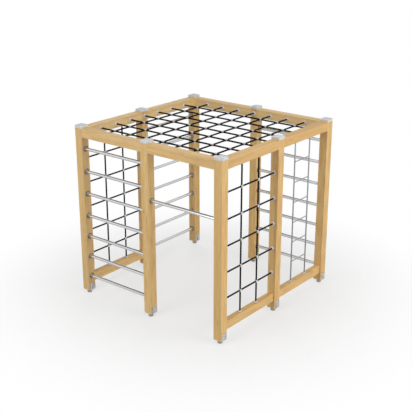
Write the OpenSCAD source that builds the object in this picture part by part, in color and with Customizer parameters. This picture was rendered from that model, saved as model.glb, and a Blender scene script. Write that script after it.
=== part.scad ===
// Wooden climbing frame
// Eight posts carry a square of top beams. The bays between the posts hold tube rungs, rope nets, a rod
// ladder, a single bar and a doorway, and a rope net lies across the top.
// +X is to the right and +Y to the back. The ground is at Z = 0, and the origin is under the frame's middle.

/* [Frame] */
// Distance between the corner posts' centres across the front
frame_width = 2064; // [1800:1:2400]
// Distance between the corner posts' centres from front to back
frame_depth = 2048; // [1800:1:2400]
// Height of the posts' tops above the ground
frame_top = 2110; // [2060:1:2400]
// Height of the posts' bottoms above the ground
post_foot = 45; // [30:1:80]

/* [Timber] */
// Side of a square post
post_side = 107; // [98:1:120]
// Radius of the timber's long edges
edge_round = 5; // [3:0.5:14]
// Radius of a post's edges at its head, where the beams close on it
head_round = 2; // [1:0.5:4]
// Width of a top beam
beam_width = 107; // [80:1:120]
// Height of a top beam
beam_height = 107; // [90:1:130]
// Width of a bottom rail
rail_width = 70; // [60:1:120]
// Height of a bottom rail
rail_height = 105; // [60:1:120]
// Height of the bottom rails' tops above the ground
rail_top = 245; // [220:1:300]
// Length of a tenon
tenon_length = 30; // [22:1:34]
// Thickness of a tenon
tenon_thickness = 30; // [20:1:34]
// Shoulder above and below a tenon
tenon_shoulder = 18; // [10:1:22]
// Diameter of a tenon peg
peg_diameter = 10; // [6:1:12]
// Length of a tenon peg
peg_length = 70; // [66:1:78]

/* [Caps] */
// Side of a square post cap
cap_side = 116; // [102:1:124]
// Thickness of a post cap
cap_thickness = 32; // [16:1:40]
// Radius of a cap's upright corners
cap_round = 14; // [6:1:24]
// Bevel round a cap's top
cap_bevel = 8; // [3:0.5:12]
// Diameter of the spigot under a cap
spigot_diameter = 14; // [8:1:20]
// Length of the spigot under a cap
spigot_length = 30; // [15:1:36]

/* [Post shoes] */
// Thickness of a shoe's plates
shoe_plate = 6; // [4:0.5:10]
// Width of a shoe's plates
shoe_width = 68; // [50:1:76]
// Height of a shoe's cheeks above the post's bottom
cheek_height = 92; // [80:1:110]
// Radius of a cheek's top corners
cheek_round = 12; // [4:1:20]
// Diameter of the stub under a shoe
stub_diameter = 57; // [42:1:76]
// Diameter of a shoe bolt
bolt_diameter = 12; // [8:1:14]
// Height of the lower bolt above the post's bottom
bolt_rise = 24; // [20:1:30]
// Distance between a shoe's two bolts
bolt_pitch = 40; // [32:1:46]
// Diameter of a bolt's domed head
bolt_head = 26; // [20:1:30]
// Thickness of a bolt's domed head
bolt_dome = 7; // [4:0.5:9]
// Width of a nut across its flats
nut_flats = 19; // [17:0.5:24]
// Thickness of a nut
nut_height = 10; // [6:0.5:12]
// Length of bolt that stands out of its nut
bolt_end = 3; // [1:0.5:6]

/* [Rungs] */
// Largest number of rungs in a ladder
rung_count = 7; // [4:1:7]
// Outer diameter of a rung's tube
rung_diameter = 38; // [28:0.5:42]
// Wall of a rung's tube
rung_wall = 3; // [2:0.5:5]
// Height of the lowest rung above the ground
rung_first = 236; // [200:1:260]
// Number of lower steps in a ladder
rung_low_steps = 3; // [1:1:4]
// Height of each lower step
rung_low_pitch = 263; // [230:1:275]
// Height of each upper step
rung_high_pitch = 278; // [240:1:290]
// Height of the single bar above the ground
bar_height = 1445; // [900:1:1800]
// Diameter of a rung flange
flange_diameter = 72; // [64:1:84]
// Thickness of a flange
flange_thickness = 6; // [4:0.5:10]
// Wall of a flange's collar
collar_wall = 4; // [3:0.5:5]
// Length of a flange's collar, from the timber
collar_length = 14; // [12:1:40]
// Diameter of a flange screw
screw_diameter = 5; // [3:0.5:6]
// Length of a flange screw
screw_length = 40; // [25:1:44]
// Diameter of a flange screw's head
screw_head = 8; // [7:0.5:9]
// Thickness of a flange screw's head
screw_dome = 3; // [2:0.5:4]

/* [Rope nets] */
// Diameter of the rope
rope_diameter = 20; // [12:0.5:21]
// Wall in a connector between the rope that runs through and the ends of the other one
cross_wall = 1.2; // [0.8:0.1:3]
// Width of a crossing's connector
connector_width = 30; // [29:1:50]
// Radius of a connector's corners
connector_round = 5; // [2:0.5:6]
// Wall of a connector over a rope
connector_wall = 3.5; // [3:0.5:8]
// Number of ropes each way in the top net
top_ropes = 7; // [3:2:7]
// Distance between the top net's ropes across the front
top_pitch_x = 251; // [150:1:260]
// Distance between the top net's ropes from front to back
top_pitch_y = 253; // [150:1:260]
// Depth of the top net below the posts' tops
top_net_drop = 55; // [40:1:66]
// Largest number of cross ropes in a side net
side_rows = 5; // [2:1:5]
// Height of a side net's lowest cross rope above the ground
side_first = 504; // [400:1:560]
// Distance between a side net's cross ropes
side_pitch = 306; // [200:1:330]
// Diameter of a rope anchor's flange
anchor_diameter = 52; // [44:1:60]
// Thickness of a rope anchor's flange at its rim
anchor_rim = 4; // [3:0.5:8]
// Wall of a rope anchor round the rope
anchor_wall = 3; // [2.5:0.5:6]
// Length of a rope anchor, from the timber
anchor_length = 12; // [10:1:40]
// Floor of a rope anchor under the rope's end
anchor_floor = 3; // [2:0.5:6]
// Diameter of a rope anchor's stud
stud_diameter = 10; // [6:0.5:12]
// Length of a rope anchor's stud
stud_length = 50; // [30:1:54]

/* [Rod ladder] */
// Diameter of an upright rod
rod_diameter = 16; // [12:0.5:20]
// Diameter of a rod ladder's rung
rod_rung_diameter = 12; // [8:0.5:14]
// Largest number of rungs in the rod ladder
rod_rungs = 6; // [2:1:6]
// Height of the rod ladder's lowest rung above the ground
rod_first = 504; // [400:1:560]
// Distance between the rod ladder's rungs
rod_pitch = 250; // [180:1:270]
// Diameter of a rod's flange
rod_flange_diameter = 50; // [48:1:60]

/* [Fits] */
// Gap all round between pieces that fit in each other
fit_gap = 0.2; // [0.1:0.05:0.5]
// Least height from the middle of a rung or cross rope to the beam above it
head_room = 90; // [60:1:140]

/* [Hidden] */
$fn = 48;
wood = [0.82, 0.68, 0.47];
steel = [0.72, 0.73, 0.74];
grey = [0.80, 0.80, 0.81];
black = [0.10, 0.10, 0.11];
// How far a cutting shape runs past the face that it opens
overcut = 1;
nut_sides = 6;

half_width = frame_width / 2;
half_depth = frame_depth / 2;
beam_bottom = frame_top - beam_height;
beam_middle = frame_top - beam_height / 2;
rail_middle = rail_top - rail_height / 2;
post_face = post_side / 2;
top_net_height = frame_top - top_net_drop;
// The rungs and cross ropes go up to this height, so a lower frame has fewer of them
highest_row = beam_bottom - head_room;
function below_beam(heights) = [for (z = heights) if (z <= highest_row) z];

// The posts' places, anticlockwise from the front left
front_left = [-half_width, -half_depth];
front_middle = [0, -half_depth];
front_right = [half_width, -half_depth];
right_middle = [half_width, 0];
back_right = [half_width, half_depth];
back_middle = [0, half_depth];
back_left = [-half_width, half_depth];
left_middle = [-half_width, 0];

POSTS = [
    ["front_left", front_left],
    ["front_middle", front_middle],
    ["front_right", front_right],
    ["right_middle", right_middle],
    ["back_right", back_right],
    ["back_middle", back_middle],
    ["back_left", back_left],
    ["left_middle", left_middle]
];
// A bay runs from one post to the next, anticlockwise, so its left side is the inside of the frame
BEAM_BAYS = [
    ["front_left", [front_left, front_middle]],
    ["front_right", [front_middle, front_right]],
    ["right_front", [front_right, right_middle]],
    ["right_back", [right_middle, back_right]],
    ["back_right", [back_right, back_middle]],
    ["back_left", [back_middle, back_left]],
    ["left_back", [back_left, left_middle]],
    ["left_front", [left_middle, front_left]]
];
RAIL_BAYS = [
    ["right_front", [front_right, right_middle]],
    ["right_back", [right_middle, back_right]],
    ["left_front", [left_middle, front_left]]
];

function unit(v) = v / norm(v);
function bay_way(b) = unit(b[1] - b[0]);
function bay_start(b) = b[0] + bay_way(b) * post_face;
function bay_end(b) = b[1] - bay_way(b) * post_face;
function bay_clear(b) = norm(bay_end(b) - bay_start(b));
function level(p, z) = [p.x, p.y, z];

// A span is a pair of points on two timber faces, and a seat is one of its ends with the way it faces
function bay_span(b, z) = [level(bay_start(b), z), level(bay_end(b), z)];
function seats(spans) = [
    for (s = spans)
        each [[s[0], unit(s[1] - s[0])], [s[1], unit(s[0] - s[1])]]
];

// Rungs and the single bar
function rung_height(i) =
    rung_first + min(i, rung_low_steps) * rung_low_pitch + max(i - rung_low_steps, 0) * rung_high_pitch;
RUNG_HEIGHTS = below_beam([for (i = [0 : rung_count - 1]) rung_height(i)]);
function ladder(b) = [for (z = RUNG_HEIGHTS) bay_span(b, z)];
FRONT_RUNGS = ladder([front_left, front_middle]);
BACK_RUNGS = ladder([back_right, back_middle]);
LEFT_RUNGS = ladder([back_left, left_middle]);
BAR = [bay_span([front_middle, front_right], bar_height)];
RUNG_SEATS = seats(concat(FRONT_RUNGS, BACK_RUNGS, LEFT_RUNGS, BAR));
collar_diameter = rung_diameter + 2 * (collar_wall + fit_gap);
rung_screw_offset = (collar_diameter + flange_diameter) / 4;

// Top net: the ropes across the front run through, and the ropes from front to back are cut at each crossing
function place(i, pitch) = (i - (top_ropes - 1) / 2) * pitch;
function inner_face(c) = abs(c) < post_face ? post_face : beam_width / 2;
TOP_ROPES_X = [
    for (i = [0 : top_ropes - 1])
        let (y = place(i, top_pitch_y), x = half_width - inner_face(y))
            [[-x, y, top_net_height], [x, y, top_net_height]]
];
TOP_ROPES_Y = [
    for (i = [0 : top_ropes - 1])
        let (x = place(i, top_pitch_x), y = half_depth - inner_face(x))
            [[x, -y, top_net_height], [x, y, top_net_height]]
];
TOP_SEATS = seats(concat(TOP_ROPES_X, TOP_ROPES_Y));

// Side nets: two upright ropes at the thirds of the bay, cut at each cross rope
side_clear = half_depth - post_side;
SIDE_THIRDS = [for (i = [1, 2]) post_face + side_clear * i / 3];
SIDE_HEIGHTS = below_beam([for (i = [0 : side_rows - 1]) side_first + i * side_pitch]);
function cross_ropes(side) = [
    for (z = SIDE_HEIGHTS)
        [[side * half_width, post_face - half_depth, z], [side * half_width, -post_face, z]]
];
function upright_ropes(side) = [
    for (y = SIDE_THIRDS)
        [[side * half_width, -y, rail_top], [side * half_width, -y, beam_bottom]]
];
function side_seats(side) = seats(concat(cross_ropes(side), upright_ropes(side)));
ROPE_SEATS = concat(TOP_SEATS, side_seats(1), side_seats(-1));
bore_diameter = rope_diameter + 2 * fit_gap;
// Distance from a crossing's middle to the bottom of a socket
socket_floor = bore_diameter / 2 + cross_wall;

// The rope between two seats, in one length
function rope_length(s) =
    let (inset = unit(s[1] - s[0]) * (anchor_floor + fit_gap))
        [s[0] + inset, s[1] - inset];
// The rope between two seats, in lengths from crossing to crossing
function cut_lengths(s, crossings) =
    let (
        whole = rope_length(s),
        cut = unit(s[1] - s[0]) * (socket_floor + fit_gap),
        starts = concat([whole[0]], [for (c = crossings) c + cut]),
        ends = concat([for (c = crossings) c - cut], [whole[1]])
    )
        [for (i = [0 : len(starts) - 1]) [starts[i], ends[i]]];
TOP_LENGTHS_X = [for (s = TOP_ROPES_X) rope_length(s)];
TOP_LENGTHS_Y = [
    for (s = TOP_ROPES_Y)
        each cut_lengths(s, [for (r = TOP_ROPES_X) [s[0].x, r[0].y, top_net_height]])
];
function cross_lengths(side) = [for (s = cross_ropes(side)) rope_length(s)];
function upright_lengths(side) = [
    for (s = upright_ropes(side))
        each cut_lengths(s, [for (z = SIDE_HEIGHTS) [s[0].x, s[0].y, z]])
];

// Rod ladder
RODS = [for (y = SIDE_THIRDS) [[half_width, y, rail_top], [half_width, y, beam_bottom]]];
ROD_SEATS = seats(RODS);
ROD_HEIGHTS = below_beam([for (i = [0 : rod_rungs - 1]) rod_first + i * rod_pitch]);
rod_collar_diameter = rod_diameter + 2 * (collar_wall + fit_gap);
rod_screw_offset = (rod_collar_diameter + rod_flange_diameter) / 4;

// The screws of a seat stand above and below a level seat, and before and behind an upright one
function screw_seats(list, offset) = [
    for (s = list, side = [-1, 1])
        [s[0] + (s[1].z == 0 ? [0, 0, side * offset] : [0, side * offset, 0]), s[1]]
];
SCREW_SEATS = concat(screw_seats(RUNG_SEATS, rung_screw_offset), screw_seats(ROD_SEATS, rod_screw_offset));

// True where a seat lies on a box of timber
function on_box(s, low, high) =
    min(s[0] - low) >= -fit_gap && min(high - s[0]) >= -fit_gap;
function post_low(p) = [p.x - post_face, p.y - post_face, post_foot];
function post_high(p) = [p.x + post_face, p.y + post_face, frame_top];
function across(b, w) = [abs(bay_way(b).y) * w / 2, abs(bay_way(b).x) * w / 2];
function bay_low(b, w, z) =
    level([min(b[0].x, b[1].x), min(b[0].y, b[1].y)] + [abs(bay_way(b).x), abs(bay_way(b).y)] * post_face
        - across(b, w), z);
function bay_high(b, w, z) =
    level([max(b[0].x, b[1].x), max(b[0].y, b[1].y)] - [abs(bay_way(b).x), abs(bay_way(b).y)] * post_face
        + across(b, w), z);

// Turns +Z to one of the six directions along the axes, at a point
module facing(p, way) {
    turn = way.x != 0 ? [0, 90 * way.x, 0] : way.y != 0 ? [-90 * way.y, 0, 0] : [90 - 90 * way.z, 0, 0];
    translate(p)
        rotate(turn)
            children();
}

// Stands at a bay's first post face, with +X along the bay and +Y to the inside of the frame
module in_bay(b) {
    translate(level(bay_start(b), 0))
        rotate([0, 0, atan2(bay_way(b).y, bay_way(b).x)])
            children();
}

module rounded_rect(w, h, r) {
    square([w - 2 * r, h], center = true);
    square([w, h - 2 * r], center = true);
    for (x = [-1, 1], y = [-1, 1])
        translate([x * (w / 2 - r), y * (h / 2 - r)])
            circle(r);
}

// Timber

// A squared timber along a bay, between the two posts' faces
module bay_timber(b, w, h, middle) {
    in_bay(b)
        translate([0, 0, middle])
            rotate([90, 0, 90])
                linear_extrude(bay_clear(b))
                    rounded_rect(w, h, edge_round);
}

// The core of a bay's timber, whose two ends are its tenons
module bay_core(b, h, middle, grow) {
    tenon_height = h - 2 * tenon_shoulder;
    in_bay(b)
        translate([-tenon_length - grow, -tenon_thickness / 2 - grow, middle - tenon_height / 2 - grow])
            cube([
                bay_clear(b) + 2 * (tenon_length + grow),
                tenon_thickness + 2 * grow,
                tenon_height + 2 * grow
            ]);
}

// Pegs go down through a beam's tenons from the posts' tops
module beam_pegs(b, grow) {
    in_bay(b)
        for (x = [-tenon_length / 2, bay_clear(b) + tenon_length / 2])
            translate([x, 0, frame_top - peg_length - grow])
                cylinder(d = peg_diameter + 2 * grow, h = peg_length + 2 * grow);
}

// Pegs go through a rail's tenons from the posts' inner faces
module rail_pegs(b, grow) {
    in_bay(b)
        for (x = [-tenon_length / 2, bay_clear(b) + tenon_length / 2])
            translate([x, post_face + grow, rail_middle])
                rotate([90, 0, 0])
                    cylinder(d = peg_diameter + 2 * grow, h = peg_length + 2 * grow);
}

// The holes for the rope anchors and flange screws that sit on a box of timber
module fixing_holes(low, high) {
    for (s = ROPE_SEATS)
        if (on_box(s, low, high))
            facing(s[0], s[1])
                translate([0, 0, -stud_length - fit_gap])
                    cylinder(d = stud_diameter + 2 * fit_gap, h = stud_length + overcut);
    for (s = SCREW_SEATS)
        if (on_box(s, low, high))
            facing(s[0], s[1])
                translate([0, 0, flange_thickness - screw_length - fit_gap])
                    cylinder(d = screw_diameter + 2 * fit_gap, h = screw_length);
}

module post(p) {
    color(wood)
        difference() {
            union() {
                translate(level(p, post_foot))
                    linear_extrude(frame_top - post_foot)
                        rounded_rect(post_side, post_side, edge_round);
                translate(level(p, beam_bottom))
                    linear_extrude(beam_height)
                        rounded_rect(post_side, post_side, head_round);
            }
            for (b = BEAM_BAYS)
                if (b[1][0] == p || b[1][1] == p) {
                    bay_core(b[1], beam_height, beam_middle, fit_gap);
                    beam_pegs(b[1], fit_gap);
                }
            for (b = RAIL_BAYS)
                if (b[1][0] == p || b[1][1] == p) {
                    bay_core(b[1], rail_height, rail_middle, fit_gap);
                    rail_pegs(b[1], fit_gap);
                }
            fixing_holes(post_low(p), post_high(p));
            shoe_recess(p);
            shoe_bolt_holes(p);
            translate(level(p, frame_top - spigot_length - fit_gap))
                cylinder(d = spigot_diameter + 2 * fit_gap, h = spigot_length + overcut);
        }
}

module beam(b) {
    color(wood)
        difference() {
            union() {
                bay_timber(b, beam_width, beam_height, beam_middle);
                bay_core(b, beam_height, beam_middle, 0);
            }
            beam_pegs(b, fit_gap);
            fixing_holes(bay_low(b, beam_width, beam_bottom), bay_high(b, beam_width, frame_top));
        }
}

module rail(b) {
    color(wood)
        difference() {
            union() {
                bay_timber(b, rail_width, rail_height, rail_middle);
                bay_core(b, rail_height, rail_middle, 0);
            }
            rail_pegs(b, fit_gap);
            fixing_holes(bay_low(b, rail_width, rail_top - rail_height), bay_high(b, rail_width, rail_top));
        }
}

module tenon_pegs() {
    color(wood) {
        for (b = BEAM_BAYS)
            beam_pegs(b[1], 0);
        for (b = RAIL_BAYS)
            rail_pegs(b[1], 0);
    }
}

// Caps and shoes

module cap_outline() {
    half = cap_side / 2;
    polygon([
        [-half, 0],
        [half, 0],
        [half, cap_thickness - cap_bevel],
        [half - cap_bevel, cap_thickness],
        [cap_bevel - half, cap_thickness],
        [-half, cap_thickness - cap_bevel]
    ]);
}

module cap(p) {
    color(grey)
        translate(level(p, frame_top)) {
            intersection() {
                linear_extrude(cap_thickness)
                    rounded_rect(cap_side, cap_side, cap_round);
                rotate([90, 0, 0])
                    linear_extrude(cap_side, center = true)
                        cap_outline();
                rotate([90, 0, 90])
                    linear_extrude(cap_side, center = true)
                        cap_outline();
            }
            translate([0, 0, -spigot_length])
                cylinder(d = spigot_diameter, h = spigot_length + cap_thickness / 2);
        }
}

// The two bolts' heights and the way their heads face, away from the frame's middle
function bolt_heights() = [for (i = [0, 1]) post_foot + bolt_rise + i * bolt_pitch];
function head_way(p) = [p.x < 0 ? -1 : 1, 0, 0];
cheek_face = post_face + shoe_plate;

module shoe_bolt_holes(p) {
    for (z = bolt_heights())
        translate(level(p, z))
            rotate([0, 90, 0])
                cylinder(d = bolt_diameter + 2 * fit_gap, h = 2 * (cheek_face + overcut), center = true);
}

// The recess under a post that takes the base plate of its shoe
module shoe_recess(p) {
    translate(level(p, post_foot) - [cheek_face, shoe_width / 2 + fit_gap, overcut])
        cube([2 * cheek_face, shoe_width + 2 * fit_gap, shoe_plate + overcut]);
}

// One cheek of a shoe with rounded top corners, from the post's bottom
module cheek() {
    rotate([90, 0, 90])
        linear_extrude(shoe_plate) {
            straight = cheek_height - cheek_round;
            corner = shoe_width / 2 - cheek_round;
            translate([-shoe_width / 2, 0])
                square([shoe_width, straight]);
            translate([-corner, 0])
                square([2 * corner, cheek_height]);
            for (side = [-1, 1])
                translate([side * corner, straight])
                    circle(cheek_round);
        }
}

module shoe(p) {
    color(steel)
        difference() {
            translate(level(p, 0)) {
                cylinder(d = stub_diameter, h = post_foot + shoe_plate / 2);
                translate([-cheek_face, -shoe_width / 2, post_foot])
                    cube([2 * cheek_face, shoe_width, shoe_plate]);
                translate([post_face, 0, post_foot])
                    cheek();
                translate([-cheek_face, 0, post_foot])
                    cheek();
            }
            shoe_bolt_holes(p);
        }
}

module shoe_bolts() {
    color(steel)
        for (p = POSTS, z = bolt_heights())
            facing(level(p[1], z) + head_way(p[1]) * cheek_face, head_way(p[1])) {
                shank = 2 * cheek_face + nut_height + bolt_end;
                translate([0, 0, -shank])
                    cylinder(d = bolt_diameter, h = shank + bolt_dome / 2);
                cylinder(d = bolt_head, h = bolt_dome / 2);
                translate([0, 0, bolt_dome / 2])
                    cylinder(d1 = bolt_head, d2 = bolt_diameter, h = bolt_dome / 2);
            }
}

module shoe_nuts() {
    color(steel)
        for (p = POSTS, z = bolt_heights())
            facing(level(p[1], z) - head_way(p[1]) * cheek_face, -head_way(p[1]))
                difference() {
                    cylinder(d = nut_flats / cos(180 / nut_sides), h = nut_height, $fn = nut_sides);
                    translate([0, 0, -overcut])
                        cylinder(d = bolt_diameter + 2 * fit_gap, h = nut_height + 2 * overcut);
                }
}

// Rungs

module tubes(spans) {
    color(steel)
        for (s = spans) {
            way = unit(s[1] - s[0]);
            length = norm(s[1] - s[0]) - 2 * fit_gap;
            facing(s[0] + way * fit_gap, way)
                difference() {
                    cylinder(d = rung_diameter, h = length);
                    translate([0, 0, -overcut])
                        cylinder(d = rung_diameter - 2 * rung_wall, h = length + 2 * overcut);
                }
        }
}

// Flanges with a collar round what they hold, and two screw holes each
module flanges(list, disc, collar, bore, offset) {
    color(steel)
        for (s = list)
            difference() {
                facing(s[0], s[1])
                    difference() {
                        union() {
                            cylinder(d = disc, h = flange_thickness);
                            cylinder(d = collar, h = collar_length);
                        }
                        translate([0, 0, -overcut])
                            cylinder(d = bore + 2 * fit_gap, h = collar_length + 2 * overcut);
                    }
                for (q = screw_seats([s], offset))
                    facing(q[0], q[1])
                        translate([0, 0, -overcut])
                            cylinder(d = screw_diameter + 2 * fit_gap, h = flange_thickness + 2 * overcut);
            }
}

module flange_screws() {
    color(steel)
        for (s = SCREW_SEATS)
            facing(s[0], s[1]) {
                translate([0, 0, flange_thickness - screw_length])
                    cylinder(d = screw_diameter, h = screw_length + screw_dome / 2);
                translate([0, 0, flange_thickness])
                    cylinder(d1 = screw_head, d2 = screw_diameter, h = screw_dome);
            }
}

// Rope nets

module ropes(lengths) {
    color(black)
        for (s = lengths)
            facing(s[0], unit(s[1] - s[0]))
                cylinder(d = rope_diameter, h = norm(s[1] - s[0]));
}

// A turned anchor: a stud in the timber, a flange on it and a neck that holds the rope's end
module anchors(list) {
    neck = bore_diameter / 2 + anchor_wall;
    color(grey)
        for (s = list)
            facing(s[0], s[1])
                rotate_extrude()
                    polygon([
                        [0, -stud_length],
                        [stud_diameter / 2, -stud_length],
                        [stud_diameter / 2, 0],
                        [anchor_diameter / 2, 0],
                        [anchor_diameter / 2, anchor_rim],
                        [neck, (anchor_rim + anchor_length) / 2],
                        [neck, anchor_length],
                        [bore_diameter / 2, anchor_length],
                        [bore_diameter / 2, anchor_floor],
                        [0, anchor_floor]
                    ]);
}

// A clamp block with a bore for the rope that runs through and two sockets for the ends of the other rope
module connector(p, through_way, cut_way, out) {
    depth = bore_diameter + 2 * connector_wall;
    color(grey)
        difference() {
            facing(p - out * depth / 2, out)
                linear_extrude(depth)
                    rounded_rect(connector_width, connector_width, connector_round);
            facing(p - through_way * connector_width, through_way)
                cylinder(d = bore_diameter, h = 2 * connector_width);
            for (way = [cut_way, -cut_way])
                facing(p + way * socket_floor, way)
                    cylinder(d = bore_diameter, h = connector_width);
        }
}

module top_connectors() {
    for (i = [0 : top_ropes - 1], j = [0 : top_ropes - 1]) {
        crossing = [place(i, top_pitch_x), place(j, top_pitch_y), top_net_height];
        connector(crossing, [1, 0, 0], [0, 1, 0], [0, 0, 1]);
    }
}

module side_connectors(side) {
    for (y = SIDE_THIRDS, z = SIDE_HEIGHTS)
        connector([side * half_width, -y, z], [0, 1, 0], [0, 0, 1], [side, 0, 0]);
}

// Rod ladder

module ladder_rods() {
    color(steel)
        for (s = RODS)
            facing(s[0] + [0, 0, fit_gap], [0, 0, 1])
                cylinder(d = rod_diameter, h = s[1].z - s[0].z - 2 * fit_gap);
}

// The short rungs end on the rods' round sides
module ladder_rungs() {
    color(steel)
        for (z = ROD_HEIGHTS)
            difference() {
                facing([half_width, SIDE_THIRDS[0], z], [0, 1, 0])
                    cylinder(d = rod_rung_diameter, h = SIDE_THIRDS[1] - SIDE_THIRDS[0]);
                for (s = RODS)
                    translate(s[0])
                        cylinder(d = rod_diameter + 2 * fit_gap, h = s[1].z - s[0].z);
            }
}

for (p = POSTS) {
    post(p[1]);
    cap(p[1]);
    shoe(p[1]);
}
for (b = BEAM_BAYS)
    beam(b[1]);
for (b = RAIL_BAYS)
    rail(b[1]);
tenon_pegs();
shoe_bolts();
shoe_nuts();
tubes(FRONT_RUNGS);  // rungs_front
tubes(BACK_RUNGS);  // rungs_back
tubes(LEFT_RUNGS);  // rungs_left
tubes(BAR);  // bar_front
flanges(RUNG_SEATS, flange_diameter, collar_diameter, rung_diameter, rung_screw_offset);  // rung_flanges
ropes(TOP_LENGTHS_X);  // top_ropes_across
ropes(TOP_LENGTHS_Y);  // top_ropes_along
top_connectors();
anchors(TOP_SEATS);  // top_anchors
ropes(cross_lengths(1));  // right_cross_ropes
ropes(upright_lengths(1));  // right_upright_ropes
side_connectors(1);  // right_connectors
anchors(side_seats(1));  // right_anchors
ropes(cross_lengths(-1));  // left_cross_ropes
ropes(upright_lengths(-1));  // left_upright_ropes
side_connectors(-1);  // left_connectors
anchors(side_seats(-1));  // left_anchors
ladder_rods();
ladder_rungs();
flanges(ROD_SEATS, rod_flange_diameter, rod_collar_diameter, rod_diameter, rod_screw_offset);  // rod_flanges
flange_screws();
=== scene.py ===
import math
import random

import bpy
import numpy as np
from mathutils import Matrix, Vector


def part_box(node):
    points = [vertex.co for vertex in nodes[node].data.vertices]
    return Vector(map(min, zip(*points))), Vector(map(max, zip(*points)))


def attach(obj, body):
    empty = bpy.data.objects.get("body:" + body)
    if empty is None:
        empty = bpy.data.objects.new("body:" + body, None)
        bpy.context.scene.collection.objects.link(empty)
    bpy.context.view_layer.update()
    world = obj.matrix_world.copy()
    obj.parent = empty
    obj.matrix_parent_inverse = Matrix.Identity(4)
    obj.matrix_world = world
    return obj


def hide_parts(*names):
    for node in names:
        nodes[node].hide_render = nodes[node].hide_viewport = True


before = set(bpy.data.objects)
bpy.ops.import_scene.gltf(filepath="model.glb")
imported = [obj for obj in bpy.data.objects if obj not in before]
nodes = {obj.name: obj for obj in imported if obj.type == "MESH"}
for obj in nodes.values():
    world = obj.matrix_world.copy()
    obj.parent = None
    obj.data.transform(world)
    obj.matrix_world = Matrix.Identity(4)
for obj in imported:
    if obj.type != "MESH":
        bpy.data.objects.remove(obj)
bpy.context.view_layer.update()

# Sizes repeated from the part's source, in metres
HALF_WIDTH, HALF_DEPTH = 1.032, 1.024
FRAME_TOP, POST_FOOT, POST_FACE = 2.110, 0.045, 0.0535
BEAM_BOTTOM, RAIL_TOP = 2.003, 0.245
INNER_X, INNER_Y = HALF_WIDTH - POST_FACE, HALF_DEPTH - POST_FACE
FIT_GAP = 0.0002
RUNG_COUNT, RUNG_LOW_STEPS = 7, 3
RUNG_FIRST, RUNG_LOW_PITCH, RUNG_HIGH_PITCH = 0.236, 0.263, 0.278
RUNG_HEIGHTS = [
    RUNG_FIRST + RUNG_LOW_PITCH * min(i, RUNG_LOW_STEPS) + RUNG_HIGH_PITCH * max(i - RUNG_LOW_STEPS, 0)
    for i in range(RUNG_COUNT)
]
BAR_HEIGHT = 1.445
RUNG_RADIUS, COLLAR_RADIUS, COLLAR_LENGTH = 0.019, 0.0232, 0.014
FLANGE_RADIUS, FLANGE_THICKNESS = 0.036, 0.006
ROD_RADIUS, ROD_COLLAR_RADIUS, ROD_FLANGE_RADIUS = 0.008, 0.0122, 0.025
ROD_RUNG_FIRST, ROD_RUNG_PITCH, ROD_RUNG_COUNT = 0.504, 0.250, 6
ROD_RUNG_HEIGHTS = [ROD_RUNG_FIRST + ROD_RUNG_PITCH * i for i in range(ROD_RUNG_COUNT)]
SCREW_RADIUS, SCREW_LENGTH, SCREW_HEAD_RADIUS, SCREW_DOME = 0.0025, 0.040, 0.004, 0.003
ROPE_RADIUS, ROPE_INSET, ROPE_CUT = 0.010, 0.0032, 0.0116
TOP_NET_HEIGHT, TOP_ROPES = 2.055, 7
TOP_PITCH_X, TOP_PITCH_Y = 0.251, 0.253
TOP_X = [TOP_PITCH_X * (i - TOP_ROPES // 2) for i in range(TOP_ROPES)]
TOP_Y = [TOP_PITCH_Y * (i - TOP_ROPES // 2) for i in range(TOP_ROPES)]
SIDE_FIRST, SIDE_PITCH, SIDE_ROWS = 0.504, 0.306, 5
SIDE_HEIGHTS = [SIDE_FIRST + SIDE_PITCH * i for i in range(SIDE_ROWS)]
SIDE_THIRDS = [POST_FACE + (HALF_DEPTH - 2 * POST_FACE) * i / 3 for i in (1, 2)]
ANCHOR_RADIUS, ANCHOR_RIM, ANCHOR_NECK, ANCHOR_LENGTH = 0.026, 0.004, 0.0132, 0.012
ANCHOR_FLOOR, STUD_RADIUS, STUD_LENGTH = 0.003, 0.005, 0.050
CONNECTOR_HALF, CONNECTOR_ROUND, CONNECTOR_DEPTH = 0.015, 0.005, 0.0274
CAP_HALF, CAP_THICKNESS, CAP_CORNER = 0.058, 0.032, 0.014
SPIGOT_RADIUS, SPIGOT_LENGTH = 0.007, 0.030
CHEEK_FACE = 0.0595
BOLT_RISE, BOLT_PITCH = 0.024, 0.040
BOLT_HEIGHTS = [POST_FOOT + BOLT_RISE, POST_FOOT + BOLT_RISE + BOLT_PITCH]
BOLT_RADIUS, BOLT_HEAD_RADIUS, BOLT_DOME, BOLT_END = 0.006, 0.013, 0.007, 0.003
NUT_FLATS, NUT_HEIGHT = 0.0095, 0.010
POSTS = [
    (-HALF_WIDTH, -HALF_DEPTH), (0, -HALF_DEPTH), (HALF_WIDTH, -HALF_DEPTH), (HALF_WIDTH, 0),
    (HALF_WIDTH, HALF_DEPTH), (0, HALF_DEPTH), (-HALF_WIDTH, HALF_DEPTH), (-HALF_WIDTH, 0),
]
X, Y, Z = (1, 0, 0), (0, 1, 0), (0, 0, 1)


# Camera

CAMERA_TARGET = Vector((0.004, 0.0008, 1.0802))
CAMERA_AZIMUTH, CAMERA_ELEVATION = math.radians(38.953), math.radians(19.986)
CAMERA_DISTANCE, CAMERA_REACH = 10.4134, 200
SENSOR_WIDTH = 36.0
FOCAL_PIXELS, IMAGE_PIXELS = 852.7, 412


def look_along(way):
    """The turn of a camera or lamp that looks along a way."""
    return way.to_track_quat("-Z", "Y").to_euler()


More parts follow.
